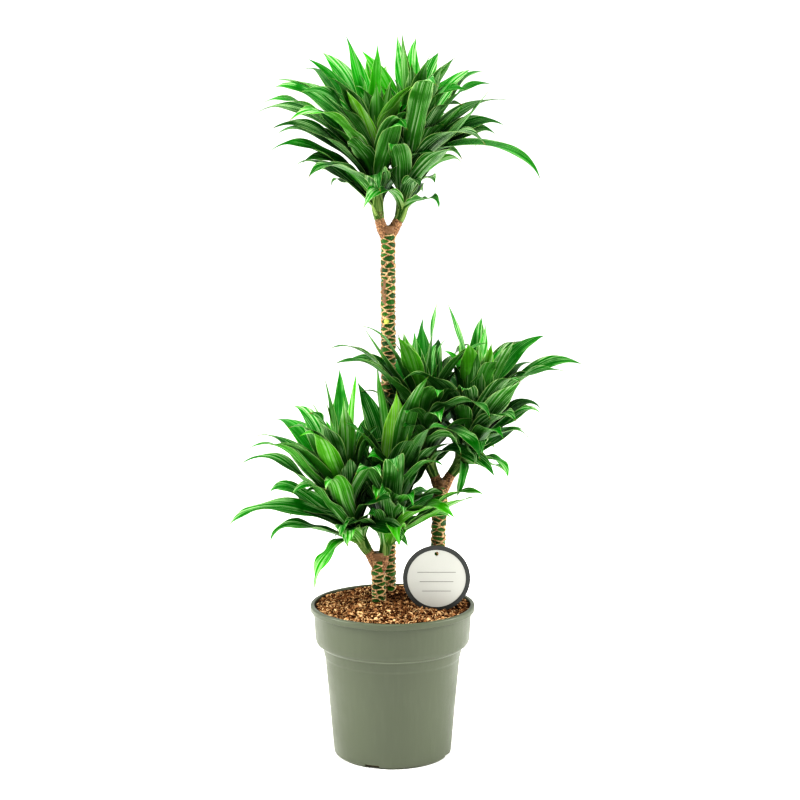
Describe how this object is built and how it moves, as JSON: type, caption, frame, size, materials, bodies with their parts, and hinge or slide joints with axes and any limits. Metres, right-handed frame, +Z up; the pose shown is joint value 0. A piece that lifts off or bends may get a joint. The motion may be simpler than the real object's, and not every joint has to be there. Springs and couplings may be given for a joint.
{
  "type": "potted corn plant",
  "caption": "Corn plant with cut canes of different heights, leafy shoots at the top of each, in a round nursery pot of soil.",
  "frame": {"origin": "centre of the flat underside of the pot", "axes": "+Z up along the canes, -Y towards the viewer, +X to the right"},
  "size_m": [0.442, 0.3684, 0.906],
  "materials": {
    "pot": "satin",
    "soil": "coarse and matte",
    "cane_bark": "ridged bark",
    "shoot_bark": "rough bark",
    "leaf": "glossy leaf",
    "young_leaf": "glossy leaf",
    "label": "matte"
  },
  "bodies": {
    "root": {"middle_cane": "cane_bark", "middle_left_leaves_1": "leaf", "middle_left_leaves_2": "leaf", "middle_left_leaves_3": "leaf", "middle_left_leaves_4": "leaf", "middle_left_leaves_5": "leaf", "middle_left_leaves_6": "leaf", "middle_left_leaves_7": "young_leaf", "middle_left_leaves_8": "young_leaf", "middle_left_shoot": "shoot_bark", "middle_right_leaves_1": "leaf", "middle_right_leaves_2": "leaf", "middle_right_leaves_3": "leaf", "middle_right_leaves_4": "leaf", "middle_right_leaves_5": "leaf", "middle_right_leaves_6": "leaf", "middle_right_leaves_7": "young_leaf", "middle_right_leaves_8": "young_leaf", "middle_right_shoot": "shoot_bark", "plant_label": "label", "pot": "pot", "short_cane": "cane_bark", "short_left_leaves_1": "leaf", "short_left_leaves_2": "leaf", "short_left_leaves_3": "leaf", "short_left_leaves_4": "leaf", "short_left_leaves_5": "leaf", "short_left_leaves_6": "leaf", "short_left_leaves_7": "young_leaf", "short_left_leaves_8": "young_leaf", "short_left_shoot": "shoot_bark", "short_right_leaves_1": "leaf", "short_right_leaves_2": "leaf", "short_right_leaves_3": "leaf", "short_right_leaves_4": "leaf", "short_right_leaves_5": "leaf", "short_right_leaves_6": "leaf", "short_right_leaves_7": "young_leaf", "short_right_leaves_8": "young_leaf", "short_right_shoot": "shoot_bark", "soil": "soil", "tall_cane": "cane_bark", "tall_left_leaves_1": "leaf", "tall_left_leaves_2": "leaf", "tall_left_leaves_3": "leaf", "tall_left_leaves_4": "leaf", "tall_left_leaves_5": "leaf", "tall_left_leaves_6": "leaf", "tall_left_leaves_7": "young_leaf", "tall_left_leaves_8": "young_leaf", "tall_left_shoot": "shoot_bark", "tall_right_leaves_1": "leaf", "tall_right_leaves_2": "leaf", "tall_right_leaves_3": "leaf", "tall_right_leaves_4": "leaf", "tall_right_leaves_5": "leaf", "tall_right_leaves_6": "leaf", "tall_right_leaves_7": "young_leaf", "tall_right_leaves_8": "young_leaf", "tall_right_shoot": "shoot_bark"}
  },
  "joints": []
}
